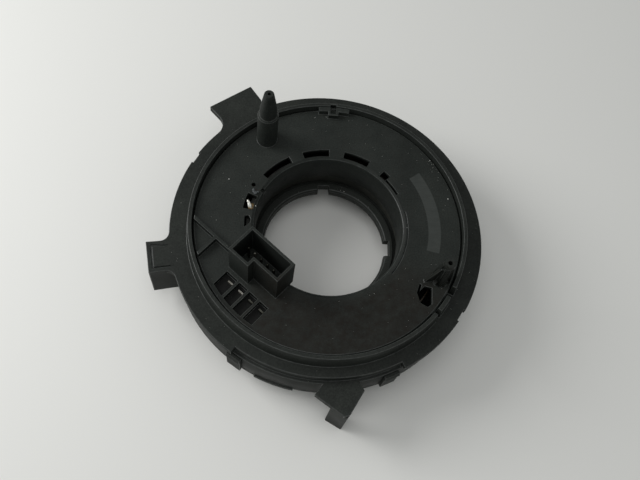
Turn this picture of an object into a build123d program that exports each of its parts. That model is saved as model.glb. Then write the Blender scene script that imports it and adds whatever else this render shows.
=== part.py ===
from build123d import *
from math import atan2, cos, degrees, hypot, radians, sin
import os

# Steering clock spring, millimetres. +Z points out of the face that the
# steering wheel sits on, the origin is on the bore axis at the back of the
# rear cover, and azimuths run anticlockwise from +X.

# ---- common to several pieces ---------------------------------------------
plate_radius = 42.3
edge_break = 0.4
running_gap = 0.3
push_fit = 0.05
# Fused shapes reach this far into each other, and cutters this far past a face.
joining = 0.1
cut_reach = 1.0

# ---- stator housing -------------------------------------------------------
flange_width = 5.5
rim_top = 15.0
rest_level = -9.0
flange_thickness = 2.2
wall_inset = 1.0
wall_thickness = 1.6
ledge_width = 2.0
ridge_gap = 0.35
ridge_top_width = 1.25
ridge_foot_width = 1.85
ridge_height = 6.1
cutback_inset = 2.1
cutback_depth = 3.0
cutback_start, cutback_end = 234.0, 297.0
rim_notch_depth = 0.6
rim_notch_width = 4.0
rim_notch_azimuths = [150.0, 326.0]
index_azimuth = 87.3
index_slot_width = 2.0
latch_start, latch_end = 317.5, 331.3
latch_tongue_start, latch_tongue_end = 320.0, 327.3
latch_tongue_drop = 0.8

# ---- lugs of the housing: corners as (out from the rim, sideways) ---------
upper_lug_azimuth = 123.5
upper_lug = [(8.85, 8.3), (8.8, -7.9), (2.5, -8.1), (-7.3, -4.3), (-3.7, 6.5)]
side_lug_azimuth = 191.0
side_lug = [(6.9, -5.3), (7.2, 5.2), (-4.1, 5.3), (-5.5, -4.3)]
lower_lug_azimuth = 274.0
lower_lug = [(1.7, -8.0), (8.7, 0.3), (8.3, 2.1), (1.4, 7.1), (-2.1, 5.6), (-2.8, -4.0)]
lug_thickness = 2.2
upper_root_fillet = 4.5
side_root_fillet = 3.0
short_root_fillet = 1.5
lower_lug_drop = 3.0
side_lug_height = 15.8
side_lug_wall = 1.8
pad_groove_inset = 1.2
pad_groove_width = 0.5
pad_groove_depth = 0.4
web_height = 8.0
web_thickness = 1.6
web_inset = 0.3
leg_width = 6.0
leg_thickness = 2.4
leg_corner = 0.5
upper_leg = (7.4, 1.1)
upper_leg_angle = 33.0
lower_leg = (6.3, -0.3)
lower_leg_angle = -31.0

# ---- rear cover -----------------------------------------------------------
cover_bottom = 0.0
cover_thickness = 1.6
cover_fit = 0.1
collar_bore_radius = 20.2
collar_width = 2.8
collar_height = 3.0
collar_chamfer = 0.6
collar_key_azimuth = 90.0
collar_key_width = 3.8
collar_key_depth = 2.0
collar_notch_azimuth = 358.0
collar_notch_width = 5.4
collar_notch_depth = 1.6
bearing_rib_width = 1.2
bearing_rib_height = 2.6
snap_arm_azimuths = [60.0, 150.0, 234.8, 293.0]
snap_arm_width = 5.0
snap_arm_thickness = 0.9
snap_arm_drop = 3.8
snap_hook_depth = 0.5
snap_hook_rise = 0.5
snap_hook_length = 2.4
cover_lip_start, cover_lip_end = 243.0, 258.0
cover_lip_width = 0.5

# ---- rotor plate and hub --------------------------------------------------
plate_thickness = 2.15
plate_rise = 4.15
bore_radius = 23.25
bore_lip = 1.2
bore_notch_azimuth = 151.5
bore_notch_width = 1.2
bore_notch_depth = 1.6
sleeve_wall = 1.2
sleeve_length = 11.15
hub_wall = 1.5
hub_top_gap = 0.2
slot_width = 2.5
slot_spans = [(118.0, 141.0), (89.0, 108.0), (59.0, 78.0), (41.5, 47.0)]
slit_radius = 25.0
slit_width = 0.75
slit_start, slit_end = 27.0, 41.0
line_width = 0.4
line_depth = 0.5
line_start, line_end = 320.0, 372.0
contact_pocket_start, contact_pocket_end = 158.0, 169.5
contact_pocket_width = 3.1
contact_hole_radius = 27.4
contact_hole_azimuth = 151.0
contact_hole_size = 0.7
contact_window_azimuth = 179.0
contact_window = [(2.1, -1.85), (0.8, -2.0), (0.1, -0.8), (0.45, 0.55), (2.1, 1.95)]
index_block_start, index_block_end = 80.0, 94.0
index_block_inset = 1.6
index_block_height = 1.95
index_tongue_width = 3.4
index_tongue_inset = 3.2
index_tongue_wall = 0.7

# ---- drive posts ----------------------------------------------------------
post_1_edge_distance = 5.92
post_1_azimuth = 123.3
post_1_radius = 3.3
post_1_barrel = 14.3
post_1_ledge_rise = 0.5
post_1_collar = 3.1
post_1_neck_radius = 2.75
post_1_height = 25.6
post_1_tip_radius = 1.25
post_1_hole_radius = 0.5
post_2_edge_distance = 3.85
post_2_azimuth = 333.1
post_2_base_radius = 2.8
post_2_core_radius = 1.9
post_2_height = 13.1
post_2_tip_radius = 1.5
post_2_hole_radius = 0.7
post_tip_break = 0.3
post_hole_depth = 4.0
post_foot_height = 0.6
fin_count = 4
fin_thickness = 1.3
fin_azimuth = 258.0
gusset_azimuth = 189.0
gusset_reach = 5.3
gusset_rise = 9.0
gusset_width = 0.9

# ---- window and slit beside the shorter post ------------------------------
window_radius = 37.0
window_azimuth = 321.5
window_corners = [(-2.1, -1.0), (-1.7, 2.65), (0.4, 3.55), (3.3, -0.75), (2.9, -2.25), (0.5, -2.65)]
slit_ends = [(-3.35, 2.35), (-2.3, -0.75)]
slit_thickness = 0.7

# ---- wheel connector socket on the plate ----------------------------------
socket_angle = -43.0
socket_length = 17.1
socket_width = 10.0
socket_centre_along = -3.65
socket_bore_overhang = 1.35
socket_wall = 0.9
socket_height = 14.35
socket_floor = 1.0
socket_step_along = -4.3
socket_step_depth = 2.5
wheel_pin_count = 6
wheel_pin_pitch = 2.54
wheel_pin_size = 0.64
wheel_pin_height = 7.0

# ---- ribs and comb pockets on the plate -----------------------------------
rib_thickness = 1.0
rib_height = 2.0
long_rib_across = -28.2
short_rib_along = -21.5
comb_start = -11.6
comb_first_rib = -6.8
comb_pitch = 4.25
comb_count = 4
comb_rib_width = 0.9
comb_depth = 1.7
comb_length = 9.0
comb_edge_margin = 1.7
blade_length = 1.9
blade_thickness = 0.5
blade_height = 1.8
blade_from_end = 1.7

# ---- ribbon and its end carriers ------------------------------------------
ribbon_clearance = 1.0
ribbon_thickness = 0.35
ribbon_turns = 2
carrier_depth = 2.6
carrier_lip = 0.9
carrier_length = 9.0

# ---- column connector on the rear -----------------------------------------
column_block_depth = 13.0
column_block_inset = 14.0
column_block_near_y = 13.0
column_block_far_y = 33.0
column_wall = 1.5
column_corner = 1.0
column_mouth_depth = 10.0
column_pin_count = 5
column_pin_pitch = 3.2
column_pin_size = 0.8
column_pin_length = 5.4
column_key_width = 2.4
pin_taper = 0.15

# ---- broken contact leaf --------------------------------------------------
leaf_width = 1.3
leaf_thickness = 0.35
leaf_foot_length = 2.2
leaf_rise = 2.3
leaf_azimuth = 165.0

# ---- sizes that follow from the ones above --------------------------------
plate_top = rim_top + plate_rise
plate_bottom = plate_top - plate_thickness
ridge_inner_radius = plate_radius + ridge_gap
ridge_foot_radius = ridge_inner_radius + ridge_foot_width
ridge_top = rim_top + ridge_height
rim_radius = ridge_foot_radius + flange_width
wall_radius = rim_radius - wall_inset
cutback_radius = rim_radius - cutback_inset
cover_top = cover_bottom + cover_thickness
wall_inner_radius = wall_radius - wall_thickness
sleeve_radius = bore_radius + sleeve_wall
hub_inner_radius = sleeve_radius + push_fit
hub_radius = hub_inner_radius + hub_wall
hub_bottom = cover_top + running_gap
hub_top = plate_bottom - hub_top_gap
bearing_radius = hub_radius + running_gap
bearing_top = cover_top + bearing_rib_height
flange_bottom = rim_top - flange_thickness
snap_arm_top = rim_top - snap_arm_drop
ribbon_bottom = cover_top + running_gap
ribbon_top = flange_bottom - running_gap
ribbon_start_radius = bearing_radius + bearing_rib_width + ribbon_clearance
ribbon_end_radius = wall_inner_radius - carrier_depth / 2 - ribbon_thickness
ribbon_growth = (ribbon_end_radius - ribbon_start_radius) / ribbon_turns
column_block_far_x = wall_radius - column_block_inset
column_block_near_x = column_block_far_x - column_block_depth
column_middle_y = (column_block_near_y + column_block_far_y) / 2
column_middle_z = (cover_bottom + rest_level) / 2
socket_start = socket_centre_along - socket_length / 2
socket_end = socket_centre_along + socket_length / 2
socket_bore_side = socket_bore_overhang - bore_radius
socket_rim_side = socket_bore_side - socket_width
socket_step_side = socket_rim_side + socket_step_depth
comb_ribs_along = [comb_first_rib + index * comb_pitch for index in range(comb_count)]
comb_inner_across = comb_length - plate_radius
post_1_at = (plate_radius - post_1_edge_distance, post_1_azimuth)
post_2_at = (plate_radius - post_2_edge_distance, post_2_azimuth)


def polar(radius, azimuth):
    return (radius * cos(radians(azimuth)), radius * sin(radians(azimuth)))


def disc(radius, bottom, top):
    return Pos(0, 0, bottom) * extrude(Circle(radius), top - bottom)


def ring(inner, outer, bottom, top):
    return Pos(0, 0, bottom) * extrude(Circle(outer) - Circle(inner), top - bottom)


# A cylinder on the bore axis that runs right through the part, for trimming.
def core(radius):
    return Cylinder(radius, 8 * rim_top)


# A block bounded by two arcs about the bore axis and two radial ends.
def sector(inner, outer, start, end, bottom, top):
    outline = [
        CenterArc((0, 0), outer, start, end - start),
        Line(polar(outer, end), polar(inner, end)),
        CenterArc((0, 0), inner, start, end - start),
        Line(polar(inner, start), polar(outer, start)),
    ]
    return Pos(0, 0, bottom) * extrude(make_face(outline), top - bottom)


# A straight-sided block that lies across the radius at an azimuth.
def radial_block(azimuth, inner, outer, width, bottom, top):
    block = Box(outer - inner, width, top - bottom)
    return Rot(0, 0, azimuth) * Pos((inner + outer) / 2, 0, (bottom + top) / 2) * block


def prism(corners, bottom, top):
    return Pos(0, 0, bottom) * extrude(make_face(Polyline(*corners, close=True)), top - bottom)


# A block in the socket's own directions: along its length, across it, and up.
def socket_block(along, across, bottom, top):
    block = Box(along[1] - along[0], across[1] - across[0], top - bottom)
    centre = Pos((along[0] + along[1]) / 2, (across[0] + across[1]) / 2, (bottom + top) / 2)
    return Rot(0, 0, socket_angle) * centre * block


def revolved(points):
    return revolve(make_face(Plane.XZ * Polyline(*points, close=True)), Axis.Z)


# Corners given as (outward, anticlockwise) about a point on a circle, as plain points.
def outline_at(radius, azimuth, corners):
    return [polar_offset(radius, azimuth, outward, sideways) for outward, sideways in corners]


def polar_offset(radius, azimuth, outward, sideways):
    x, y = polar(radius + outward, azimuth)
    return (x - sideways * sin(radians(azimuth)), y + sideways * cos(radians(azimuth)))


upper_outline = outline_at(rim_radius, upper_lug_azimuth, upper_lug)
side_outline = outline_at(rim_radius, side_lug_azimuth, side_lug)
lower_outline = outline_at(rim_radius, lower_lug_azimuth, lower_lug)
upper_leg_centre = polar_offset(rim_radius, upper_lug_azimuth, *upper_leg)
lower_leg_centre = polar_offset(rim_radius, lower_lug_azimuth, *lower_leg)


# ---------------------------------------------------------------------------
# Stator
# ---------------------------------------------------------------------------
def housing_ring():
    section = [
        (wall_inner_radius, cover_top),
        (wall_radius, cover_top),
        (wall_radius, flange_bottom),
        (rim_radius, flange_bottom),
        (rim_radius, rim_top - edge_break),
        (rim_radius - edge_break, rim_top),
        (ridge_foot_radius, rim_top),
        (ridge_inner_radius + ridge_top_width, ridge_top),
        (ridge_inner_radius, ridge_top),
        (ridge_inner_radius, rim_top),
        (ridge_inner_radius - ledge_width, rim_top),
        (ridge_inner_radius - ledge_width, flange_bottom),
        (wall_inner_radius, flange_bottom),
    ]
    return revolved(section)


def cut_back_rim(body):
    body -= sector(
        cutback_radius, rim_radius + cut_reach, cutback_start, cutback_end,
        rim_top - cutback_depth, rim_top + cut_reach
    )
    for azimuth in rim_notch_azimuths:
        body -= radial_block(
            azimuth, rim_radius - rim_notch_depth, rim_radius + cut_reach, rim_notch_width,
            cover_top, rim_top + cut_reach
        )
    return body


# Two windows through the ridge leave a lower latch tongue standing between them.
def latch_cuts():
    inner = ridge_inner_radius - ledge_width / 2
    above = ridge_top + cut_reach
    tongue_top = ridge_top - latch_tongue_drop
    first = sector(inner, ridge_foot_radius, latch_start, latch_tongue_start, rim_top, above)
    last = sector(inner, ridge_foot_radius, latch_tongue_end, latch_end, rim_top, above)
    over = sector(inner, ridge_foot_radius, latch_tongue_start, latch_tongue_end, tongue_top, above)
    return [first, last, over]


def index_cut():
    inner = ridge_inner_radius - cut_reach
    outer = ridge_inner_radius + ridge_top_width / 2
    return radial_block(
        index_azimuth, inner, outer, index_slot_width, plate_top, ridge_top + cut_reach
    )


# The upright edges where the two taller lugs leave the rim, nearest the short side first.
def lug_roots(plate):
    roots = []
    for edge in plate.edges().filter_by(Axis.Z):
        middle = edge.center()
        if abs(hypot(middle.X, middle.Y) - rim_radius) < push_fit and middle.X < 0:
            roots.append(edge)
    short_side = Vector(*upper_outline[2], rim_top)
    return sorted(roots, key=lambda edge: (edge.center() - short_side).length)


def rim_lugs():
    outline = Circle(rim_radius) + make_face(Polyline(*upper_outline, close=True))
    outline += make_face(Polyline(*side_outline, close=True))
    lugs = Pos(0, 0, rim_top - lug_thickness) * extrude(outline, lug_thickness)
    lugs = fillet(lug_roots(lugs)[2:], side_root_fillet)
    lugs = fillet(lug_roots(lugs)[1:2], upper_root_fillet)
    lugs = fillet(lug_roots(lugs)[:1], short_root_fillet)
    return lugs - core(wall_radius - joining)


def side_lug_box():
    bottom = rim_top - side_lug_height
    outer = prism(side_outline, bottom, rim_top - lug_thickness)
    inner_face = offset(make_face(Polyline(*side_outline, close=True)), -side_lug_wall)
    outer -= Pos(0, 0, bottom) * extrude(inner_face, side_lug_height - lug_thickness)
    outer -= disc(wall_radius + running_gap, bottom, cover_top)
    return outer - core(wall_radius - joining)


# The shallow groove that outlines the seat on the side lug.
def side_lug_groove():
    seat = offset(make_face(Polyline(*side_outline, close=True)), -pad_groove_inset)
    inner = offset(seat, -pad_groove_width)
    groove = extrude(seat - inner, pad_groove_depth)
    return Pos(0, 0, rim_top - pad_groove_depth) * groove - core(rim_radius + edge_break)


def leg(centre, angle, top):
    foot = RectangleRounded(leg_width, leg_thickness, leg_corner)
    return Pos(*centre, rest_level) * Rot(0, 0, angle) * extrude(foot, top - rest_level)


# A triangular web under the edge of the upper lug, deep at its root.
def upper_lug_web():
    tip = Vector(*upper_outline[0])
    root = Vector(*upper_outline[4])
    direction = (root - tip).normalized()
    angle = degrees(atan2(direction.Y, direction.X))
    length = (root - tip).length
    under = rim_top - lug_thickness
    corners = [(web_inset, under), (length, under), (length, under - web_height)]
    web = extrude(make_face(Plane.XZ * Polyline(*corners, close=True)), web_thickness)
    web = Pos(0, web_thickness + web_inset, 0) * web
    return Pos(tip.X, tip.Y, 0) * Rot(0, 0, angle) * web - core(wall_radius - joining)


def stator_housing():
    body = housing_ring() + rim_lugs() + side_lug_box() + upper_lug_web()
    lug_bottom = rim_top - lug_thickness
    body += leg(upper_leg_centre, upper_leg_angle, lug_bottom + joining)
    lower_top = rim_top - lower_lug_drop
    body = cut_back_rim(body)
    body += prism(lower_outline, lower_top - lug_thickness, lower_top) - core(wall_radius - joining)
    body += leg(lower_leg_centre, lower_leg_angle, lower_top - lug_thickness + joining)
    return body - [side_lug_groove(), index_cut(), *latch_cuts()]


def snap_arm(azimuth):
    inner = wall_radius + cover_fit
    outer = inner + snap_arm_thickness
    arm = radial_block(azimuth, inner, outer, snap_arm_width, cover_bottom, snap_arm_top)
    arm += radial_block(
        azimuth, inner - cut_reach, outer, snap_arm_width, cover_bottom, cover_top - cover_fit
    )
    hook = [
        (outer, snap_arm_top - snap_hook_length),
        (outer + snap_hook_depth, snap_arm_top - snap_hook_length + snap_hook_rise),
        (outer, snap_arm_top),
    ]
    wedge = extrude(make_face(Plane.XZ * Polyline(*hook, close=True)), snap_arm_width / 2, both=True)
    return arm + Rot(0, 0, azimuth) * wedge


def collar_cut(azimuth, depth, width):
    return radial_block(
        azimuth, collar_bore_radius - cut_reach, collar_bore_radius + depth, width,
        cover_bottom - cut_reach, cover_bottom + collar_height + cut_reach
    )


# One section gives the cover its disc, its collar and the rib that the hub turns in.
def rear_cover():
    collar_outer = collar_bore_radius + collar_width
    collar_top = cover_bottom + collar_height
    section = [
        (collar_bore_radius, cover_bottom),
        (wall_radius, cover_bottom),
        (wall_radius, cover_top),
        (bearing_radius + bearing_rib_width, cover_top),
        (bearing_radius + bearing_rib_width, bearing_top),
        (bearing_radius, bearing_top),
        (bearing_radius, cover_top),
        (collar_outer, cover_top),
        (collar_outer, collar_top),
        (collar_bore_radius + collar_chamfer, collar_top),
        (collar_bore_radius, collar_top - collar_chamfer),
    ]
    body = revolved(section)
    body -= collar_cut(collar_key_azimuth, collar_key_depth, collar_key_width)
    body -= collar_cut(collar_notch_azimuth, collar_notch_depth, collar_notch_width)
    for azimuth in snap_arm_azimuths:
        body += snap_arm(azimuth)
    return body + sector(
        wall_radius - cut_reach, wall_radius + cover_lip_width, cover_lip_start, cover_lip_end,
        cover_bottom, cover_top - cover_fit
    )


def column_connector():
    width = column_block_far_y - column_block_near_y
    height = cover_bottom - rest_level
    middle_x = (column_block_near_x + column_block_far_x) / 2
    block = Pos(middle_x, column_middle_y, column_middle_z) * Box(column_block_depth, width, height)
    block = fillet(block.edges().filter_by(Axis.Z), column_corner)
    mouth_x = column_block_far_x - column_mouth_depth / 2
    mouth = Box(column_mouth_depth, width - 2 * column_wall, height - 2 * column_wall)
    block -= Pos(mouth_x, column_middle_y, column_middle_z) * mouth
    key = Box(column_mouth_depth, column_key_width, column_wall)
    return block - Pos(mouth_x, column_middle_y, rest_level + column_wall / 2) * key


def column_pin(index):
    y = column_middle_y + (index - (column_pin_count - 1) / 2) * column_pin_pitch
    root_x = column_block_far_x - column_mouth_depth
    pin = Box(column_pin_length, column_pin_size, column_pin_size)
    pin = chamfer(pin.faces().sort_by(Axis.X)[-1].edges(), pin_taper)
    return Pos(root_x + column_pin_length / 2, y, column_middle_z) * pin


# ---------------------------------------------------------------------------
# Ribbon and its carriers
# ---------------------------------------------------------------------------
def ribbon_radius(half_turn):
    return ribbon_start_radius + half_turn * ribbon_growth / 2


# Half circles about two centres make a spiral whose radius grows evenly.
def ribbon_cable():
    shift = ribbon_growth / 4
    arcs = []
    for half_turn in range(2 * ribbon_turns):
        centre = (shift if half_turn % 2 else -shift, 0)
        start = 180 * (half_turn % 2)
        radius = ribbon_radius(half_turn) + shift
        arcs.append(CenterArc(centre, radius, start, 180))
        arcs.append(CenterArc(centre, radius + ribbon_thickness, start, 180))
    first = ribbon_radius(0)
    last = ribbon_radius(2 * ribbon_turns)
    arcs.append(Line((first, 0), (first + ribbon_thickness, 0)))
    arcs.append(Line((last, 0), (last + ribbon_thickness, 0)))
    return Pos(0, 0, ribbon_bottom) * extrude(make_face(arcs), ribbon_top - ribbon_bottom)


# The moulded blocks that clamp the ribbon lie just past its two ends.
def ribbon_inner_carrier():
    inner = hub_radius + push_fit
    outer = ribbon_start_radius + ribbon_thickness + carrier_lip
    span = degrees(carrier_length / inner)
    return sector(inner, outer, -span, 0, bearing_top + running_gap, ribbon_top)


def ribbon_outer_carrier():
    outer = wall_inner_radius - push_fit
    span = degrees(carrier_length / outer)
    return sector(outer - carrier_depth, outer, 0, span, ribbon_bottom, ribbon_top)


# ---------------------------------------------------------------------------
# Rotor
# ---------------------------------------------------------------------------
def plate_and_sleeve():
    sleeve_bottom = plate_top - sleeve_length
    section = [
        (bore_radius, sleeve_bottom),
        (sleeve_radius, sleeve_bottom),
        (sleeve_radius, plate_bottom),
        (plate_radius, plate_bottom),
        (plate_radius, plate_top - edge_break),
        (plate_radius - edge_break, plate_top),
        (bore_radius + bore_lip, plate_top),
        (bore_radius + bore_lip / 3, plate_top - bore_lip / 3),
        (bore_radius, plate_top - bore_lip),
    ]
    return revolved(section)


# A cut between two arcs that goes right through the plate.
def through_slot(inner, outer, start, end):
    return sector(inner, outer, start, end, plate_bottom - cut_reach, plate_top + cut_reach)


def through_window(radius, azimuth, corners):
    outline = outline_at(radius, azimuth, corners)
    return prism(outline, plate_bottom - cut_reach, plate_top + cut_reach)


def plate_slots():
    inner = sleeve_radius + push_fit
    cuts = [through_slot(inner, inner + slot_width, start, end) for start, end in slot_spans]
    slit_inner = slit_radius - slit_width / 2
    cuts.append(through_slot(slit_inner, slit_inner + slit_width, slit_start, slit_end))
    cuts.append(
        through_slot(inner, inner + contact_pocket_width, contact_pocket_start, contact_pocket_end)
    )
    cuts.append(through_window(sleeve_radius, contact_window_azimuth, contact_window))
    line_inner = slit_radius - line_width / 2
    cuts.append(
        sector(
            line_inner, line_inner + line_width, line_start, line_end,
            plate_top - line_depth, plate_top + cut_reach
        )
    )
    hole_centre = polar(contact_hole_radius, contact_hole_azimuth)
    cuts.append(Pos(*hole_centre, plate_top) * Cylinder(contact_hole_size, 3 * plate_thickness))
    cuts.append(
        radial_block(
            bore_notch_azimuth, bore_radius - cut_reach, sleeve_radius, bore_notch_width,
            plate_top - bore_notch_depth, plate_top + cut_reach
        )
    )
    return cuts


def post_window():
    (start_out, start_side), (end_out, end_side) = slit_ends
    slit = [
        (start_out, start_side),
        (end_out, end_side),
        (end_out + slit_thickness, end_side),
        (start_out + slit_thickness, start_side),
    ]
    return [
        through_window(window_radius, window_azimuth, window_corners),
        through_window(window_radius, window_azimuth, slit),
    ]


def index_block():
    inner = plate_radius - index_block_inset
    outer = plate_radius
    tongue_inner = plate_radius - index_tongue_inset
    bottom = plate_top - joining
    top = plate_top + index_block_height
    block = sector(inner, outer, index_block_start, index_block_end, bottom, top)
    block += radial_block(
        index_azimuth, tongue_inner, outer - edge_break, index_tongue_width, bottom, top
    )
    return block - radial_block(
        index_azimuth, tongue_inner + index_tongue_wall, outer + cut_reach, index_slot_width,
        plate_top, top + cut_reach
    )


# The taller post: a barrel with a ledge, a neck and a cone with a drilled tip.
def drive_post_1():
    barrel_top = plate_top + post_1_barrel
    neck_bottom = barrel_top + post_1_ledge_rise
    tip = plate_top + post_1_height
    profile = [
        (0, plate_top - joining),
        (post_1_radius, plate_top - joining),
        (post_1_radius, barrel_top),
        (post_1_neck_radius, neck_bottom),
        (post_1_neck_radius, neck_bottom + post_1_collar),
        (post_1_tip_radius + post_tip_break, tip - post_tip_break),
        (post_1_tip_radius, tip),
        (post_1_hole_radius, tip),
        (post_1_hole_radius, tip - post_hole_depth),
        (0, tip - post_hole_depth),
    ]
    return Pos(*polar(*post_1_at), 0) * revolved(profile)


# A fin stands upright on the plate with its sloping edge over a reach and a rise.
def fin(azimuth, foot_reach, tip_reach, rise, width):
    bottom = plate_top - joining
    side = [(0, bottom), (foot_reach, bottom), (tip_reach, plate_top + rise), (0, plate_top + rise)]
    web = extrude(make_face(Plane.XZ * Polyline(*side, close=True)), width / 2, both=True)
    return Rot(0, 0, azimuth) * web


# The shorter post: a slim core with crossed fins, a foot ring and a gusset.
def drive_post_2():
    tip = plate_top + post_2_height
    bottom = plate_top - joining
    head = tip - post_2_tip_radius
    profile = [
        (0, bottom),
        (post_2_base_radius, bottom),
        (post_2_base_radius, plate_top + post_foot_height),
        (post_2_core_radius, plate_top + post_foot_height + edge_break),
        (post_2_tip_radius - post_tip_break, head - edge_break),
        (post_2_tip_radius + post_tip_break, head),
        (post_2_tip_radius, tip),
        (0, tip),
    ]
    post = revolved(profile)
    rise = post_2_height - post_2_tip_radius
    for index in range(fin_count):
        azimuth = fin_azimuth + 360 * index / fin_count
        post += fin(azimuth, post_2_base_radius, post_2_tip_radius + post_tip_break, rise, fin_thickness)
    post += fin(gusset_azimuth, gusset_reach, post_2_core_radius, gusset_rise, gusset_width)
    post -= Pos(0, 0, tip) * Cylinder(post_2_hole_radius, 2 * post_hole_depth)
    return Pos(*polar(*post_2_at), 0) * post


# The socket's outline narrows on its rim side at the step, which keys the plug.
def socket_outline(inset, bottom, top):
    long_part = socket_block(
        (socket_start + inset, socket_step_along - inset),
        (socket_rim_side + inset, socket_bore_side - inset), bottom, top
    )
    narrow_part = socket_block(
        (socket_start + inset, socket_end - inset),
        (socket_step_side + inset, socket_bore_side - inset), bottom, top
    )
    return long_part + narrow_part


def wheel_socket():
    top = plate_top + socket_height
    shell = socket_outline(0, plate_top - joining, top)
    return shell - socket_outline(socket_wall, plate_top + socket_floor, top + cut_reach)


def wheel_pin(index):
    along = socket_centre_along + (index - (wheel_pin_count - 1) / 2) * wheel_pin_pitch
    across = (socket_step_side + socket_bore_side) / 2
    base = plate_top + socket_floor
    pin = Box(wheel_pin_size, wheel_pin_size, wheel_pin_height)
    pin = chamfer(pin.faces().sort_by(Axis.Z)[-1].edges(), pin_taper)
    place = Rot(0, 0, socket_angle) * Pos(along, across, base + wheel_pin_height / 2)
    return place * pin


def plate_ribs():
    edge = plate_radius - edge_break
    half = rib_thickness / 2
    bottom, top = plate_top - joining, plate_top + rib_height
    ribs = socket_block(
        (-edge, socket_start + joining), (long_rib_across - half, long_rib_across + half), bottom, top
    )
    ribs += socket_block(
        (short_rib_along - half, short_rib_along + half), (-edge, long_rib_across), bottom, top
    )
    return ribs & core(edge)


# The comb is one sunk bay with upright ribs left standing across it.
def comb_bays():
    edge = core(plate_radius - comb_edge_margin)
    starts = [comb_start] + [along + comb_rib_width / 2 for along in comb_ribs_along[:-1]]
    bays = []
    for start, rib in zip(starts, comb_ribs_along):
        bay = socket_block(
            (start, rib - comb_rib_width / 2), (-plate_radius, comb_inner_across),
            plate_top - comb_depth, plate_top + cut_reach
        )
        bays.append(bay & edge)
    return bays


def comb_blade(index):
    end = comb_ribs_along[index] - comb_rib_width / 2
    across = comb_inner_across - blade_from_end
    bottom = plate_top - comb_depth
    return socket_block(
        (end - blade_length, end), (across - blade_thickness, across), bottom, bottom + blade_height
    )


def rotor_plate():
    body = plate_and_sleeve() + wheel_socket() + plate_ribs() + index_block()
    body -= plate_slots() + comb_bays() + post_window()
    return body + drive_post_1() + drive_post_2()


def hub_ring():
    return ring(hub_inner_radius, hub_radius, hub_bottom, hub_top)


# What is left of the spring leaf: a foot in the pocket and a bent-up end.
def contact_leaf():
    half = leaf_foot_length / 2
    lean = leaf_rise / 3
    strip = [
        (-half, 0),
        (half, 0),
        (half + lean, leaf_rise),
        (half + lean - leaf_thickness, leaf_rise),
        (half - leaf_thickness, leaf_thickness),
        (-half, leaf_thickness),
    ]
    leaf = extrude(make_face(Plane.XZ * Polyline(*strip, close=True)), leaf_width / 2, both=True)
    pocket_radius = (hub_inner_radius + hub_radius) / 2
    return Rot(0, 0, leaf_azimuth) * Pos(pocket_radius, 0, hub_top) * Rot(0, 0, 90) * leaf


os.makedirs("parts", exist_ok=True)
export_step(stator_housing(), "parts/stator_housing.step")
export_step(rear_cover(), "parts/rear_cover.step")
export_step(column_connector(), "parts/column_connector.step")
export_step(rotor_plate(), "parts/rotor_plate.step")
export_step(hub_ring(), "parts/hub_ring.step")
export_step(contact_leaf(), "parts/contact_leaf.step")
export_step(ribbon_cable(), "parts/ribbon_cable.step")
export_step(ribbon_inner_carrier(), "parts/ribbon_inner_carrier.step")
export_step(ribbon_outer_carrier(), "parts/ribbon_outer_carrier.step")
for number in range(column_pin_count):
    export_step(column_pin(number), f"parts/column_pin_{number + 1}.step")
for number in range(wheel_pin_count):
    export_step(wheel_pin(number), f"parts/wheel_pin_{number + 1}.step")
for number in range(comb_count):
    export_step(comb_blade(number), f"parts/comb_blade_{number + 1}.step")
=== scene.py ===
from math import cos, radians, sin, sqrt, tau
from random import Random

import bmesh
import bpy
from mathutils import Matrix, Vector
from mathutils.bvhtree import BVHTree


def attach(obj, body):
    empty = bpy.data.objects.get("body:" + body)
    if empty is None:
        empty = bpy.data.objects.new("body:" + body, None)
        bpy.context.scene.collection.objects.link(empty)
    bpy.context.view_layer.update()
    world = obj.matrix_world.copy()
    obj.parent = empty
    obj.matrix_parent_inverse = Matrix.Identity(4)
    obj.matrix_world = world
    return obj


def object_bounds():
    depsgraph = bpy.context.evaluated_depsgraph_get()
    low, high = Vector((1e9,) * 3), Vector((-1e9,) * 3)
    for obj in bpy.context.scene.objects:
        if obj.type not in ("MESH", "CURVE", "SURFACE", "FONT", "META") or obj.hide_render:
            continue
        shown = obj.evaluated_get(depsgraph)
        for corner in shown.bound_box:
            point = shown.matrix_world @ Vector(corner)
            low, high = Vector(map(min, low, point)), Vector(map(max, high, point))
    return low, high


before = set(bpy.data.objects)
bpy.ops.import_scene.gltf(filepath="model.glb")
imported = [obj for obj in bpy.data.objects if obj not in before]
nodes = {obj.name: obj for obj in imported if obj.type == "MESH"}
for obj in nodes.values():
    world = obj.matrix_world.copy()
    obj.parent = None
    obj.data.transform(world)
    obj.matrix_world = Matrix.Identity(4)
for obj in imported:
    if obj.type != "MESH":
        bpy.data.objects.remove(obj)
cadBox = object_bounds()
print("clock spring: frame loaded,", len(nodes), "nodes")

mm = 0.001
restLevel = cadBox[0].z          # the table, under the two legs and the rear connector
topLevel = cadBox[1].z           # tip of the taller post
plateTop = 19.15 * mm            # face of the turning plate
colourSockets = {"below": 6, "above": 7, "result": 2}     # of a mix node that mixes colours


# Small helpers for building node trees.
def newMaterial(name):
    material = bpy.data.materials.new(name)
    material.use_nodes = True
    tree = material.node_tree
    return material, tree, tree.nodes["Principled BSDF"]


def addNode(tree, kind, **values):
    node = tree.nodes.new(kind)
    for key, value in values.items():
        if key in node.inputs:
            node.inputs[key].default_value = value
        else:
            setattr(node, key, value)
    return node


def plug(tree, source, target):
    if isinstance(source, (int, float)):
        target.default_value = source
    else:
        tree.links.new(source, target)


def calculate(tree, operation, first, second=0.0):
    node = addNode(tree, "ShaderNodeMath", operation=operation)
    plug(tree, first, node.inputs[0])
    plug(tree, second, node.inputs[1])
    return node.outputs["Value"]


def multiply(tree, first, second):
    return calculate(tree, "MULTIPLY", first, second)


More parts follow.
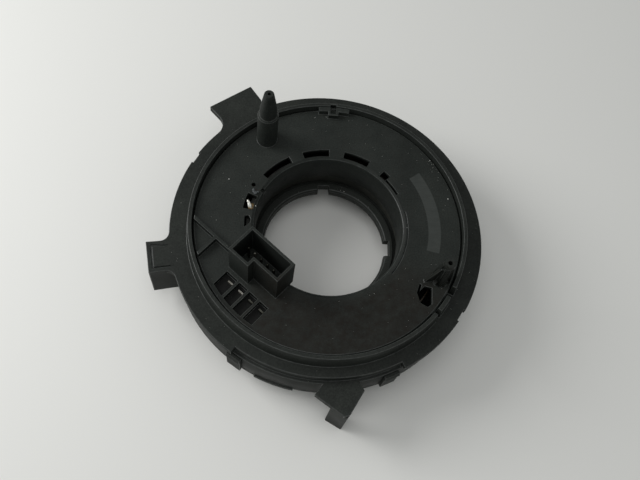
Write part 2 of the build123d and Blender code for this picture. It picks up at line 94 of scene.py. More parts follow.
# Goes smoothly from one level to the other where the source passes the edge.
def softStep(tree, source, edge, softness, before=0.0, after=1.0):
    node = addNode(tree, "ShaderNodeMapRange", interpolation_type="SMOOTHSTEP")
    plug(tree, source, node.inputs["Value"])
    node.inputs["From Min"].default_value = edge - softness
    node.inputs["From Max"].default_value = edge + softness
    node.inputs["To Min"].default_value = before
    node.inputs["To Max"].default_value = after
    return node.outputs["Result"]


def between(tree, source, low, high, softness):
    rise = softStep(tree, source, low, softness)
    fall = softStep(tree, source, high, softness, before=1.0, after=0.0)
    return multiply(tree, rise, fall)


# A point in metres. With stretch, a pattern is that much finer across Y than along X.
def objectPoint(tree, stretch=1.0, turn=0.0):
    coords = addNode(tree, "ShaderNodeTexCoord").outputs["Object"]
    if stretch == 1.0:
        return coords
    mapping = addNode(tree, "ShaderNodeMapping")
    mapping.inputs["Scale"].default_value = (1.0, stretch, 1.0)
    mapping.inputs["Rotation"].default_value = (0.0, 0.0, radians(turn))
    tree.links.new(coords, mapping.inputs["Vector"])
    return mapping.outputs["Vector"]


def cloud(tree, scale, detail=3.0, rough=0.55, point=None):
    node = addNode(tree, "ShaderNodeTexNoise", Scale=scale, Detail=detail, Roughness=rough)
    tree.links.new(point or objectPoint(tree), node.inputs["Vector"])
    return node.outputs["Fac"]


# Each tone is a colour, or one level for a grey.
def ramp(tree, source, stops, tones):
    node = addNode(tree, "ShaderNodeValToRGB")
    band = node.color_ramp
    for stop in stops[1:-1]:
        band.elements.new(stop)
    for element, stop, tone in zip(band.elements, stops, tones):
        colour = tone if isinstance(tone, tuple) else (tone, tone, tone)
        element.position = stop
        element.color = (*colour, 1.0)
    tree.links.new(source, node.inputs["Fac"])
    return node.outputs["Color"]


def blendColours(tree, amount, below, above, mode="MIX"):
    node = addNode(tree, "ShaderNodeMix", data_type="RGBA", blend_type=mode)
    plug(tree, amount, node.inputs["Factor"])
    for colour, side in ((below, "below"), (above, "above")):
        socket = node.inputs[colourSockets[side]]
        if isinstance(colour, tuple):
            socket.default_value = (*colour, 1.0)
        else:
            tree.links.new(colour, socket)
    return node.outputs[colourSockets["result"]]


def bump(tree, height, strength, distance, under=None):
    node = addNode(tree, "ShaderNodeBump", Strength=strength, Distance=distance)
    tree.links.new(height, node.inputs["Height"])
    if under:
        tree.links.new(under, node.inputs["Normal"])
    return node.outputs["Normal"]


def roundAboutBore(tree):
    split = addNode(tree, "ShaderNodeSeparateXYZ")
    tree.links.new(objectPoint(tree), split.inputs[0])
    x, y, z = split.outputs
    squares = calculate(tree, "ADD", multiply(tree, x, x), multiply(tree, y, y))
    return calculate(tree, "SQRT", squares), calculate(tree, "ARCTAN2", y, x), z


# Scales are in clouds per metre. Stops are where a cloud starts to show and where it is full.
housingPlastic = {
    "dark": (0.0134, 0.0154, 0.0136),
    "light": (0.0212, 0.0242, 0.0210),
    "cloudScale": 55.0, "cloudStops": (0.3, 0.7),
    "mottle": 0.32, "mottleScale": 2300.0, "mottleStops": (0.3, 0.7),
    "film": 0.05, "filmScale": 160.0, "filmStops": (0.38, 0.75),
    "speck": 0.55, "speckScale": 1100.0, "speckFrom": 0.70, "speckRise": 0.05,
    "dustColour": (0.15, 0.155, 0.14),
    "dustSlope": 0.6, "dustSoftness": 0.3,                # how far a face looks up to hold dust
    "dustRough": 0.4,
    "scratch": 0.05, "scratchScale": 60.0, "scratchStops": (0.70, 0.74),
    "scratchStretch": 22.0, "scratchTurn": 35.0,
    "roughLow": 0.52, "roughHigh": 0.66,
    "smearScale": 85.0, "smearStops": (0.35, 0.65),
    "sink": 0.12, "sinkScale": 48.0, "sinkDepth": 0.6 * mm,         # slight moulding sink
    "grain": 0.35, "grainScale": 3200.0, "grainDepth": 0.06 * mm,   # spark-eroded grain
    "specular": 0.16,
}
rotorPlastic = dict(housingPlastic, dark=(0.0136, 0.0160, 0.0141), light=(0.0208, 0.0242, 0.0214),
                    scratchTurn=-20.0, speckFrom=0.69)
# Painted light: the hub's plastic is a lighter copy of the housing's, with more film, to lighten it
# in the shaded bore.
hubPlastic = dict(housingPlastic, dark=(0.015, 0.016, 0.015), light=(0.022, 0.023, 0.021),
                  film=0.2)
connectorPlastic = dict(housingPlastic, dark=(0.0120, 0.0132, 0.0122),
                        light=(0.0180, 0.0196, 0.0180))
# Rubbed edges: lighter and shinier, partly wear and partly painted highlight along the rounded
# edges.
rubbedEdgeAndPaintedHighlight = dict(housingPlastic, dark=(0.018, 0.021, 0.019), light=(0.048, 0.052, 0.048),
                     cloudScale=420.0, roughLow=0.30, roughHigh=0.46, film=0.0, speck=0.0,
                     specular=0.40)


# Moulded black plastic: cloudy tone, fine grain, hairline scratches, and dust that has
# settled on whatever faces up.
def mouldedPlastic(name, look, marksAndPaintedLight=None):
    material, tree, shader = newMaterial(name)
    tone = ramp(tree, cloud(tree, look["cloudScale"], detail=4.0), look["cloudStops"],
                (look["dark"], look["light"]))
    mottle = ramp(tree, cloud(tree, look["mottleScale"], detail=2.0), look["mottleStops"],
                  (1.0 - look["mottle"], 1.0 + look["mottle"]))
    tone = blendColours(tree, 1.0, tone, mottle, "MULTIPLY")
    # These marks may paint shade and light as well as real marks.
    if marksAndPaintedLight:
        tone = marksAndPaintedLight(tree, tone)

    facing = addNode(tree, "ShaderNodeSeparateXYZ")
    tree.links.new(addNode(tree, "ShaderNodeNewGeometry").outputs["Normal"], facing.inputs[0])
    upward = softStep(tree, facing.outputs["Z"], look["dustSlope"], look["dustSoftness"])
    film = ramp(tree, cloud(tree, look["filmScale"], detail=6.0, rough=0.7), look["filmStops"],
                (0.0, look["film"]))
    specks = ramp(tree, cloud(tree, look["speckScale"], detail=5.0, rough=0.75),
                  (look["speckFrom"], look["speckFrom"] + look["speckRise"]), (0.0, look["speck"]))
    dust = multiply(tree, calculate(tree, "MAXIMUM", film, specks), upward)
    tone = blendColours(tree, dust, tone, look["dustColour"])

    scratchPoint = objectPoint(tree, look["scratchStretch"], look["scratchTurn"])
    scratch = ramp(tree, cloud(tree, look["scratchScale"], rough=0.6, point=scratchPoint),
                   look["scratchStops"], (0.0, look["scratch"]))
    tone = blendColours(tree, scratch, tone, look["dustColour"])
    tree.links.new(tone, shader.inputs["Base Color"])

    smear = ramp(tree, cloud(tree, look["smearScale"], detail=5.0), look["smearStops"],
                 (look["roughLow"], look["roughHigh"]))
    rough = calculate(tree, "ADD", smear, multiply(tree, dust, look["dustRough"]))
    tree.links.new(rough, shader.inputs["Roughness"])

    sink = bump(tree, cloud(tree, look["sinkScale"], detail=2.0), look["sink"], look["sinkDepth"])
    grain = bump(tree, cloud(tree, look["grainScale"], rough=0.65), look["grain"],
                 look["grainDepth"], under=sink)
    tree.links.new(grain, shader.inputs["Normal"])
    shader.inputs["Specular IOR Level"].default_value = look["specular"]
    return material


tinPlate = {
    "dark": (0.16, 0.15, 0.13), "middle": (0.27, 0.26, 0.23), "light": (0.42, 0.41, 0.37),
    "cloudScale": 900.0, "cloudStops": (0.32, 0.5, 0.68),
    "stain": 0.7, "stainScale": 1400.0, "stainStops": (0.55, 0.66),
    "stainColour": (0.05, 0.045, 0.035),
    "roughLow": 0.35, "roughHigh": 0.6, "rubStops": (0.3, 0.7),
    "dent": 0.3, "dentsPerCloud": 4, "dentDepth": 0.05 * mm,
}
# A dark copy of the tin, as painted shade.
shadedTin = dict(tinPlate, dark=(0.04, 0.04, 0.035), middle=(0.06, 0.06, 0.05),
               light=(0.10, 0.10, 0.085))
springBronze = dict(tinPlate, dark=(0.09, 0.058, 0.028), middle=(0.22, 0.150, 0.072),
                    light=(0.40, 0.300, 0.160), cloudScale=1200.0, stain=0.8, stainScale=1900.0,
                    stainColour=(0.03, 0.022, 0.014), roughLow=0.3)
freshBreak = dict(tinPlate, dark=(0.55, 0.54, 0.48), middle=(0.80, 0.79, 0.72),
                  light=(0.93, 0.93, 0.88), cloudScale=1300.0, stain=0.35, stainScale=2100.0,
                  stainColour=(0.34, 0.26, 0.14), roughLow=0.28, roughHigh=0.5)


# Bare metal in three tones, stained in patches and rubbed smoother where it is light.
def tarnishedMetal(name, look):
    material, tree, shader = newMaterial(name)
    patches = cloud(tree, look["cloudScale"], detail=4.0)
    tone = ramp(tree, patches, look["cloudStops"], (look["dark"], look["middle"], look["light"]))
    stain = ramp(tree, cloud(tree, look["stainScale"], detail=5.0, rough=0.7), look["stainStops"],
                 (0.0, look["stain"]))
    tone = blendColours(tree, stain, tone, look["stainColour"])
    tree.links.new(tone, shader.inputs["Base Color"])
    rub = ramp(tree, patches, look["rubStops"], (look["roughHigh"], look["roughLow"]))
    tree.links.new(rub, shader.inputs["Roughness"])
    dents = cloud(tree, look["cloudScale"] * look["dentsPerCloud"])
    dented = bump(tree, dents, look["dent"], look["dentDepth"])
    tree.links.new(dented, shader.inputs["Normal"])
    shader.inputs["Metallic"].default_value = 1.0
    return material


hubFootPaintedLight = {
    "paintedLightBelow": 8.5 * mm, "softness": 1.2 * mm,
    "patchScale": 350.0, "patchStops": (0.3, 0.65),
    "cover": (0.45, 1.0),
    "colour": (0.060, 0.062, 0.054),
}


# Painted light: the foot of the hub, under the plate's sleeve, lies in shade and is painted lighter
# in pale grey patches.
def hubPaintedLight(tree, tone):
    height = roundAboutBore(tree)[2]
    low = softStep(tree, height, hubFootPaintedLight["paintedLightBelow"], hubFootPaintedLight["softness"], before=1.0, after=0.0)
    patches = ramp(tree, cloud(tree, hubFootPaintedLight["patchScale"], detail=5.0, rough=0.7),
                   hubFootPaintedLight["patchStops"], hubFootPaintedLight["cover"])
    return blendColours(tree, multiply(tree, low, patches), tone, hubFootPaintedLight["colour"])


# Painted shade: the plate's floors that lie deep under its face are painted nearly black, for the
# shade that falls in these recesses.
paintedShadeOnSunkFloors = {"depth": 0.9 * mm, "inner": 26.0 * mm, "colour": (0.0024, 0.0026, 0.0023)}
faceDepth = 0.1 * mm             # marks on the face reach no deeper than this
# Brown tint and painted shade: a darker brown, patchy arc over the plate's face on the near, lower
# side.
brownTintAndPaintedShade = {
    "inner": 25.5 * mm, "outer": 44.0 * mm, "sideSoftness": 2.5 * mm,
    "start": radians(-136.0), "end": radians(-30.0), "endSoftness": 0.25,
    "patchScale": 420.0, "patchRough": 0.7, "patchStretch": 1.0, "patchStops": (0.35, 0.65),
    "cover": (0.25, 0.9),
    "colour": (0.0090, 0.0068, 0.0046),
}
greyBand = {
    "inner": 31.7 * mm, "outer": 35.7 * mm, "sideSoftness": 0.12 * mm,
    "start": radians(-14.5), "end": radians(33.0), "endSoftness": 0.006,
    "patchScale": 260.0, "patchRough": 0.65, "patchStretch": 3.5, "patchStops": (0.3, 0.62),
    "cover": (0.62, 0.88),
    "colour": (0.048, 0.053, 0.049),
}


# A patchy arc on the plate's face round the bore. It paints the grey band, and the brown tint with
# painted shade.
def arcPatch(tree, tone, mark):
    radius, azimuth, height = roundAboutBore(tree)
    arc = multiply(tree,
                   between(tree, radius, mark["inner"], mark["outer"], mark["sideSoftness"]),
                   between(tree, azimuth, mark["start"], mark["end"], mark["endSoftness"]))
    onFace = calculate(tree, "GREATER_THAN", height, plateTop - faceDepth)
    point = objectPoint(tree, mark["patchStretch"])
    patches = cloud(tree, mark["patchScale"], detail=5.0, rough=mark["patchRough"], point=point)
    patches = ramp(tree, patches, mark["patchStops"], mark["cover"])
    cover = multiply(tree, multiply(tree, arc, onFace), patches)
    return blendColours(tree, cover, tone, mark["colour"])


def plateMarksAndPaintedShade(tree, tone):
    radius, _, height = roundAboutBore(tree)
    # Painted shade on the deep floors, then the brown tint with painted shade, then the grey band.
    deep = calculate(tree, "LESS_THAN", height, plateTop - paintedShadeOnSunkFloors["depth"])
    outside = calculate(tree, "GREATER_THAN", radius, paintedShadeOnSunkFloors["inner"])
    tone = blendColours(tree, multiply(tree, deep, outside), tone, paintedShadeOnSunkFloors["colour"])
    tone = arcPatch(tree, tone, brownTintAndPaintedShade)
    return arcPatch(tree, tone, greyBand)


ribbonTape = {
    "film": (0.018, 0.014, 0.010),
    "track": (0.046, 0.030, 0.017),
    "tracksPerMetre": 560.0, "trackStops": (0.42, 0.52),
    "haze": (0.75, 1.1), "hazeScale": 300.0, "hazeStops": (0.3, 0.7),
    "ridge": 0.3, "ridgeHeight": 0.1 * mm,
    "rough": 0.38,
    "coat": 0.3,
}


# Flat tape: darker film between copper tracks that show through it along its length.
def ribbonMaterial():
    material, tree, shader = newMaterial("ribbonTape")
    height = roundAboutBore(tree)[2]
    swing = calculate(tree, "SINE", multiply(tree, height, ribbonTape["tracksPerMetre"] * tau))
    wave = calculate(tree, "ADD", multiply(tree, swing, 0.5), 0.5)          # from 0 to 1
    tone = ramp(tree, wave, ribbonTape["trackStops"], (ribbonTape["film"], ribbonTape["track"]))
    haze = ramp(tree, cloud(tree, ribbonTape["hazeScale"], detail=4.0), ribbonTape["hazeStops"],
                ribbonTape["haze"])
    tone = blendColours(tree, 1.0, tone, haze, "MULTIPLY")
    tree.links.new(tone, shader.inputs["Base Color"])
    ridges = bump(tree, wave, ribbonTape["ridge"], ribbonTape["ridgeHeight"])
    tree.links.new(ridges, shader.inputs["Normal"])
    shader.inputs["Roughness"].default_value = ribbonTape["rough"]
    shader.inputs["Coat Weight"].default_value = ribbonTape["coat"]
    return material


lint = {
    "dark": (0.34, 0.34, 0.31), "light": (0.74, 0.75, 0.70),
    "scale": 2500.0, "stops": (0.35, 0.65),
    "pit": 0.5, "pitDepth": 0.08 * mm,
    "rough": 0.9,
}
scorch = dict(lint, dark=(0.010, 0.006, 0.005), light=(0.040, 0.020, 0.016), scale=1800.0,
              rough=0.7)
meltedLump = dict(lint, dark=(0.010, 0.013, 0.014), light=(0.070, 0.080, 0.082), scale=1300.0,
                  rough=0.45)


# Two-toned, pitted stuff for the small crumbs, spots and lumps.
def crumbMaterial(name, look):
    material, tree, shader = newMaterial(name)
    patches = cloud(tree, look["scale"], detail=4.0, rough=0.7)
    tone = ramp(tree, patches, look["stops"], (look["dark"], look["light"]))
    tree.links.new(tone, shader.inputs["Base Color"])
    pits = bump(tree, patches, look["pit"], look["pitDepth"])
    tree.links.new(pits, shader.inputs["Normal"])
    shader.inputs["Roughness"].default_value = look["rough"]
    return material


finishes = {
    "housing": mouldedPlastic("mouldedHousingBlack", housingPlastic),
    "rotor": mouldedPlastic("mouldedRotorBlack", rotorPlastic, plateMarksAndPaintedShade),
    "hub": mouldedPlastic("mouldedHubBlack", hubPlastic, hubPaintedLight),
    "connector": mouldedPlastic("mouldedConnectorBlack", connectorPlastic),
    "edge": mouldedPlastic("rubbedEdgePaintedHighlight", rubbedEdgeAndPaintedHighlight),
    "ribbon": ribbonMaterial(),
    "tin": tarnishedMetal("tinnedPin", tinPlate),
    "shadedTin": tarnishedMetal("tinInPaintedShade", shadedTin),
    "bronze": tarnishedMetal("springBronze", springBronze),
    "break": tarnishedMetal("freshMetalBreak", freshBreak),
    "lint": crumbMaterial("paleLint", lint),
    "scorch": crumbMaterial("scorchedSpot", scorch),
    "bead": crumbMaterial("meltedGreyBead", meltedLump),
}
mouldedFinishes = ("housing", "rotor", "hub", "connector")      # these have rubbed edges, painted lighter as wear and as painted highlight
print("clock spring: finishes made")


# Finish of each part from the frame, and how far its edges are rounded.
dressing = {
    "stator_housing": ("housing", 0.20 * mm),
    "rear_cover": ("housing", 0.15 * mm),
    "column_connector": ("connector", 0.20 * mm),
    "ribbon_outer_carrier": ("connector", 0.15 * mm),
    "ribbon_inner_carrier": ("connector", 0.15 * mm),
    "rotor_plate": ("rotor", 0.16 * mm),
    "hub_ring": ("hub", 0.12 * mm),
    "contact_leaf": ("bronze", 0.05 * mm),
    "ribbon_cable": ("ribbon", 0.0),
    "column_pin": ("tin", 0.05 * mm),
    "wheel_pin": ("tin", 0.05 * mm),
    "comb_blade": ("tin", 0.06 * mm),
}
# Painted shade: pins and blades that sit in the shade of the socket get a dark copy of the tin.
pinsInPaintedShade = ("comb_blade_3", "comb_blade_4", "wheel_pin_1", "wheel_pin_3", "wheel_pin_4",
          "wheel_pin_5", "wheel_pin_6")
rounding = {"weld": 0.004 * mm, "sharpAngle": 32.0, "shortest": 0.26 * mm, "segments": 2}


# Marks the edges to round: the sharp ones, but not the short facets of small holes.
def edgeChooser():
    group = bpy.data.node_groups.new("chooseEdges", "GeometryNodeTree")
    for way in ("INPUT", "OUTPUT"):
        group.interface.new_socket("Geometry", in_out=way, socket_type="NodeSocketGeometry")
    start = group.nodes.new("NodeGroupInput")
    end = group.nodes.new("NodeGroupOutput")
    angle = group.nodes.new("GeometryNodeInputMeshEdgeAngle")
    ends = group.nodes.new("GeometryNodeInputMeshEdgeVertices")
    length = addNode(group, "ShaderNodeVectorMath", operation="DISTANCE")
    group.links.new(ends.outputs["Position 1"], length.inputs[0])
    group.links.new(ends.outputs["Position 2"], length.inputs[1])
    sharp = calculate(group, "GREATER_THAN", angle.outputs["Unsigned Angle"],
                      radians(rounding["sharpAngle"]))
    longEnough = calculate(group, "GREATER_THAN", length.outputs["Value"], rounding["shortest"])
    store = addNode(group, "GeometryNodeStoreNamedAttribute", data_type="FLOAT", domain="EDGE")
    store.inputs["Name"].default_value = "bevel_weight_edge"
    group.links.new(start.outputs["Geometry"], store.inputs["Geometry"])
    group.links.new(multiply(group, sharp, longEnough), store.inputs["Value"])
    group.links.new(store.outputs["Geometry"], end.inputs["Geometry"])
    return group


chooseEdges = edgeChooser()


def softenEdges(piece, width):
    weld = piece.modifiers.new("joinFaces", "WELD")
    weld.merge_threshold = rounding["weld"]
    piece.modifiers.new("chooseEdges", "NODES").node_group = chooseEdges
    bevel = piece.modifiers.new("roundEdges", "BEVEL")
    bevel.width = width
    bevel.segments = rounding["segments"]
    bevel.limit_method = "WEIGHT"
    bevel.use_clamp_overlap = False
    bevel.harden_normals = True
    bevel.material = 1           # the second finish, on the rounded edges


def dress(name, finish, width):
    piece = nodes[name]
    piece.data.materials.clear()
    piece.data.materials.append(finishes[finish])
    if width:
        piece.data.materials.append(finishes["edge" if finish in mouldedFinishes else finish])
        softenEdges(piece, width)


for name in nodes:
    family = name if name in dressing else name.rsplit("_", 1)[0]
    finish, width = dressing[family]
    dress(name, "shadedTin" if name in pinsInPaintedShade else finish, width)
print("clock spring: parts dressed")


# Places on the parts are given by radius and azimuth about the bore, in mm and degrees.
def polar(radius, azimuth):
    return radius * cos(radians(azimuth)), radius * sin(radians(azimuth))


def pointAt(radius, azimuth, height):
    return Vector((*polar(radius, azimuth), height))


def finishPiece(name, mesh, finish, body):
    data = bpy.data.meshes.new(name)
    mesh.normal_update()
    mesh.to_mesh(data)
    mesh.free()
    data.materials.append(finishes[finish])
    for polygon in data.polygons:
        polygon.use_smooth = True
    piece = bpy.data.objects.new(name, data)
    bpy.context.collection.objects.link(piece)
    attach(piece, body)


# A flake is a small many-sided crumb. Its widths and heights are shares of its size.
flake = {
    "corners": (5, 7),
    "narrow": (0.45, 1.0),
    "reach": (0.7, 1.15),
    "shoulder": 0.75, "shoulderHeight": (0.14, 0.24),
    "crownHeight": 0.3,
    "footDepth": 0.02 * mm,
    "dropHeight": 100 * mm,      # above every part
    "flattest": 0.85,            # least upward part of the normal of a face that holds it
}


def addFlake(mesh, place, size, draw):
    corners = draw.randint(*flake["corners"])
    narrow = draw.uniform(*flake["narrow"])
    turn = Matrix.Rotation(draw.uniform(0, tau), 3, "Z")
    foot = []
    shoulder = []
    for index in range(corners):
        angle = tau * index / corners
        reach = size / 2 * draw.uniform(*flake["reach"])
        flat = turn @ Vector((reach * cos(angle), reach * narrow * sin(angle), 0))
        rise = size * draw.uniform(*flake["shoulderHeight"])
        foot.append(mesh.verts.new(place + flat - Vector((0, 0, flake["footDepth"]))))
        shoulder.append(mesh.verts.new(place + flat * flake["shoulder"] + Vector((0, 0, rise))))
    crown = mesh.verts.new(place + Vector((0, 0, size * flake["crownHeight"])))
    for index in range(corners):
        after = (index + 1) % corners
        mesh.faces.new((foot[index], foot[after], shoulder[after], shoulder[index]))
        mesh.faces.new((shoulder[index], shoulder[after], crown))
    mesh.faces.new(list(reversed(foot)))


def surfacesOf(*names):
    depsgraph = bpy.context.evaluated_depsgraph_get()
    return [BVHTree.FromObject(nodes[name], depsgraph) for name in names]


def restingPoint(surfaces, x, y):
    above = Vector((x, y, flake["dropHeight"]))
    hits = [tree.ray_cast(above, Vector((0, 0, -1))) for tree in surfaces]
    hits = [hit for hit in hits if hit[0] is not None]
    if not hits:
        return None
    place, normal, _, _ = max(hits, key=lambda hit: hit[0].z)
    return place if normal.z > flake["flattest"] else None


# Each flake is dropped straight down onto the part below it, and stays if it lands flat.
def layFlakes(spots, surfaces, draw, highest=topLevel):
    mesh = bmesh.new()
    for x, y, size in spots:
        place = restingPoint(surfaces, x, y)
        if place is not None and place.z < highest:
            addFlake(mesh, place, size * mm, draw)
    return mesh


# Crumbs are given by radius, azimuth and size. A drift is given by its middle azimuth, spread,
# middle radius, spread and count.
dust = {
    "seed": 41,
    "smallest": 0.07, "largest": 0.19,
    "plateCount": 85, "plateInner": 25.0, "plateOuter": 41.6,
    "highestOnPlate": 3.0,       # above its face, so the posts and the socket stay clean
    "drifts": [(36.0, 11.0, 40.8, 0.9, 26), (66.0, 26.0, 38.5, 3.0, 5),
               (158.0, 12.0, 28.3, 2.0, 12)],
    "plateCrumbs": [(35.2, 154.8, 0.50), (24.9, 74.3, 0.50), (41.7, 35.6, 0.42), (41.8, 33.3, 0.36),
                    (40.2, 14.8, 0.52), (24.9, 359.8, 0.42), (39.4, 96.0, 0.36), (39.6, 90.5, 0.34),
                    (23.9, 165.8, 0.50)],
    "rimCount": 60, "rimInner": 44.8, "rimOuter": 49.5,
    "collarCount": 26, "collarInner": 20.6, "collarOuter": 22.6,
    "collarCrumbs": [(21.6, 89.5, 0.55), (21.4, 74.0, 0.42), (21.3, 70.5, 0.42),
                     (21.2, 55.0, 0.34)],
}


def placedCrumbs(crumbs):
    return [(*polar(radius * mm, azimuth), size) for radius, azimuth, size in crumbs]


def plateDust():
    draw = Random(dust["seed"])
    spots = placedCrumbs(dust["plateCrumbs"])
    for _ in range(dust["plateCount"]):
        radius = sqrt(draw.uniform(dust["plateInner"] ** 2, dust["plateOuter"] ** 2))
        x, y = polar(radius * mm, draw.uniform(0, 360))
        spots.append((x, y, draw.uniform(dust["smallest"], dust["largest"])))
    for azimuth, spread, radius, width, count in dust["drifts"]:
        for _ in range(count):
            x, y = polar(draw.gauss(radius, width / 2) * mm, draw.gauss(azimuth, spread / 2))
            spots.append((x, y, draw.uniform(dust["smallest"], dust["largest"])))
    highest = plateTop + dust["highestOnPlate"] * mm
    mesh = layFlakes(spots, surfacesOf("rotor_plate"), draw, highest)
    finishPiece("plateDust", mesh, "lint", "rotor")


def housingDust():
    draw = Random(dust["seed"] + 1)
    spots = placedCrumbs(dust["collarCrumbs"])
    rings = ((dust["rimCount"], dust["rimInner"], dust["rimOuter"]),
             (dust["collarCount"], dust["collarInner"], dust["collarOuter"]))
    for count, inner, outer in rings:
        for _ in range(count):
            x, y = polar(draw.uniform(inner, outer) * mm, draw.uniform(0, 360))
            spots.append((x, y, draw.uniform(dust["smallest"], dust["largest"])))
    mesh = layFlakes(spots, surfacesOf("stator_housing", "rear_cover"), draw)
    finishPiece("housingDust", mesh, "lint", "stator")


plateDust()
housingDust()
print("clock spring: dust laid")


# What is left of the torn contact: a bright shard that leans out of its pocket.
shard = {
    "foot": (24.75, 170.0, 17.25),      # radius, azimuth, height
    "middle": (25.5, 166.6, 18.7),
    "head": (26.9, 163.0, 19.35),
    "widths": (0.30, 0.75, 1.15, 1.30, 1.05, 0.80, 0.30),
    "across": (-1.0, -0.4, 0.3, 1.0),   # places across it, in shares of half its width
    "thickness": 0.14,
    "ragged": 0.08,
    "curl": 0.70,
    "seed": 7,
}


# One row of points across the shard, each a pair of upper and lower vertex.
def shardRow(mesh, centre, along, width, draw):
    across = along.cross(Vector((0, 0, 1))).normalized()
    up = across.cross(along)
    row = []
    for side in shard["across"]:
        reach = side * width / 2 + draw.uniform(-1, 1) * shard["ragged"] * abs(side)
        lift = shard["curl"] * (reach / max(shard["widths"])) ** 2
        upper = centre + across * reach + up * lift
        lower = upper - up * shard["thickness"]
        row.append((mesh.verts.new(upper * mm), mesh.verts.new(lower * mm)))
    return row


def closeShard(mesh, rows):
    for before, after in zip(rows, rows[1:]):
        for left in range(len(before) - 1):
            right = left + 1
            mesh.faces.new([before[left][0], before[right][0], after[right][0], after[left][0]])
            mesh.faces.new([before[right][1], before[left][1], after[left][1], after[right][1]])
        for side in (0, -1):
            mesh.faces.new([before[side][0], after[side][0], after[side][1], before[side][1]])
    for row in (rows[0], rows[-1]):
        for left, right in zip(row, row[1:]):
            mesh.faces.new([left[0], left[1], right[1], right[0]])
    bmesh.ops.recalc_face_normals(mesh, faces=mesh.faces)


def tornShard():
    draw = Random(shard["seed"])
    foot, middle, head = [pointAt(*shard[end]) for end in ("foot", "middle", "head")]
    mesh = bmesh.new()
    rows = []
    for index, width in enumerate(shard["widths"]):
        part = index / (len(shard["widths"]) - 1)
        centre = foot * (1 - part) ** 2 + middle * 2 * part * (1 - part) + head * part ** 2
        along = ((middle - foot) * (1 - part) + (head - middle) * part).normalized()
        rows.append(shardRow(mesh, centre, along, width, draw))
    closeShard(mesh, rows)
    finishPiece("tornContactShard", mesh, "break", "rotor")


# Beads are given by radius, azimuth and size. A bead's pulls are the directions it bulges in.
beads = {
    "places": [(25.5, 156.2, 0.80), (26.5, 154.9, 0.52), (24.9, 154.6, 0.40)],
    "lift": 0.1,
    "flatten": 0.75,
    "pulls": 9, "lowestPull": -0.3,
    "lumps": 0.21, "lumpSharpness": 6, "hollow": 0.1,
    "divisions": 3,
    "seed": 3,
}


# Melted beads that sit on the plate beside the pocket.
def meltedBeads():
    draw = Random(beads["seed"])
    mesh = bmesh.new()
    for radius, azimuth, size in beads["places"]:
        made = bmesh.ops.create_icosphere(mesh, subdivisions=beads["divisions"], radius=size * mm)
        pulls = []
        for _ in range(beads["pulls"]):
            pull = Vector((draw.uniform(-1, 1), draw.uniform(-1, 1),
                           draw.uniform(beads["lowestPull"], 1)))
            pulls.append(pull.normalized())
        centre = pointAt(radius * mm, azimuth, plateTop + beads["lift"] * mm)
        for vertex in made["verts"]:
            outward = vertex.co.normalized()
            lumps = sum(max(0.0, outward.dot(pull)) ** beads["lumpSharpness"] - beads["hollow"]
                        for pull in pulls)
            vertex.co *= 1 + beads["lumps"] * lumps
            vertex.co.z *= beads["flatten"]
            vertex.co += centre
    finishPiece("meltedBeads", mesh, "bead", "rotor")


scorching = {
    "places": [(25.9, 153.9, 0.75), (24.9, 152.6, 0.6), (26.6, 151.9, 0.5), (25.5, 157.0, 0.55)],
    "flatten": 0.25,
    "seed": 11,
}


# Thin scorched spots round the beads: flakes pressed nearly flat on the plate.
def scorchSpots():
    spots = placedCrumbs(scorching["places"])
    mesh = layFlakes(spots, surfacesOf("rotor_plate"), Random(scorching["seed"]))
    for vertex in mesh.verts:
        vertex.co.z = plateTop + (vertex.co.z - plateTop) * scorching["flatten"]
    finishPiece("scorchSpots", mesh, "scorch", "rotor")


tornShard()
meltedBeads()
scorchSpots()
print("clock spring: torn contact made")


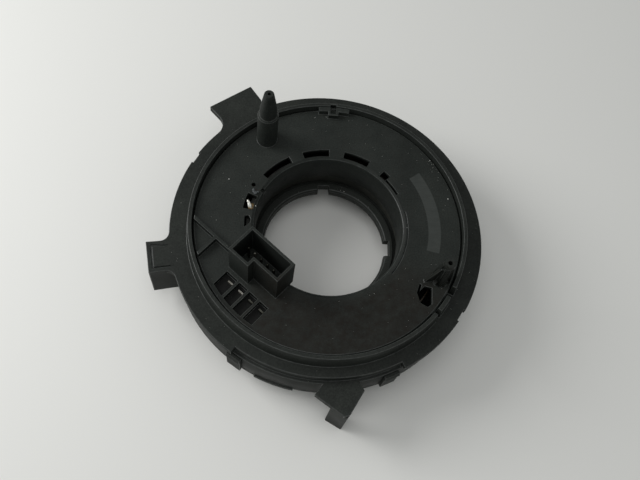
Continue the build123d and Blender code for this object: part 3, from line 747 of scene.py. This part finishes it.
# Lengths are in metres and powers in watts.
studio = {
    "tableSize": 3.0,
    "tableColour": (0.80, 0.80, 0.77),
    "tableRough": 0.6,
    "keyPlace": (-0.40, 0.12, 0.29),
    "keySize": 0.30,
    "keyPower": 1.50,
    "fillPlace": (-0.08, -0.10, 0.75),
    "fillSize": 0.5,
    "fillPower": 0.95,
    "skyColour": (0.88, 0.90, 0.90),
    "skyStrength": 0.38,
}


def tableTop():
    mesh = bpy.data.meshes.new("tableTop")
    half = studio["tableSize"] / 2
    corners = [(-half, -half), (half, -half), (half, half), (-half, half)]
    mesh.from_pydata([(x, y, restLevel) for x, y in corners], [], [(0, 1, 2, 3)])
    table = bpy.data.objects.new("tableTop", mesh)
    bpy.context.collection.objects.link(table)
    material, _, shader = newMaterial("paleTable")
    shader.inputs["Base Color"].default_value = (*studio["tableColour"], 1.0)
    shader.inputs["Roughness"].default_value = studio["tableRough"]
    mesh.materials.append(material)


# A round lamp that points at the middle of the bore.
def areaLight(name, place, size, power):
    light = bpy.data.lights.new(name, "AREA")
    light.shape = "DISK"
    light.size = size
    light.energy = power
    lamp = bpy.data.objects.new(name, light)
    lamp.location = place
    lamp.rotation_euler = (-Vector(place)).to_track_quat("-Z", "Y").to_euler()
    bpy.context.collection.objects.link(lamp)


def softRoom():
    world = bpy.data.worlds.new("softRoom")
    world.use_nodes = True
    background = world.node_tree.nodes["Background"]
    background.inputs["Color"].default_value = (*studio["skyColour"], 1.0)
    background.inputs["Strength"].default_value = studio["skyStrength"]
    bpy.context.scene.world = world


tableTop()
areaLight("keyLight", studio["keyPlace"], studio["keySize"], studio["keyPower"])
areaLight("fillLight", studio["fillPlace"], studio["fillSize"], studio["fillPower"])
softRoom()

view = {
    "place": (-0.02311, -0.09993, 0.23585),
    "turn": (23.536, -5.072, -0.585),   # degrees
    "lens": 42.887,                     # mm, and so is the sensor's width
    "sensorWidth": 36.0,
    "nearest": 10 * mm,
}


def placeCamera():
    camera = bpy.data.objects.new("camera", bpy.data.cameras.new("camera"))
    camera.location = view["place"]
    camera.rotation_euler = [radians(angle) for angle in view["turn"]]
    camera.data.lens = view["lens"]
    camera.data.sensor_width = view["sensorWidth"]
    camera.data.clip_start = view["nearest"]
    bpy.context.collection.objects.link(camera)
    bpy.context.scene.camera = camera


placeCamera()
bpy.context.scene.view_settings.view_transform = "Standard"
print("clock spring: table, lights and camera set")
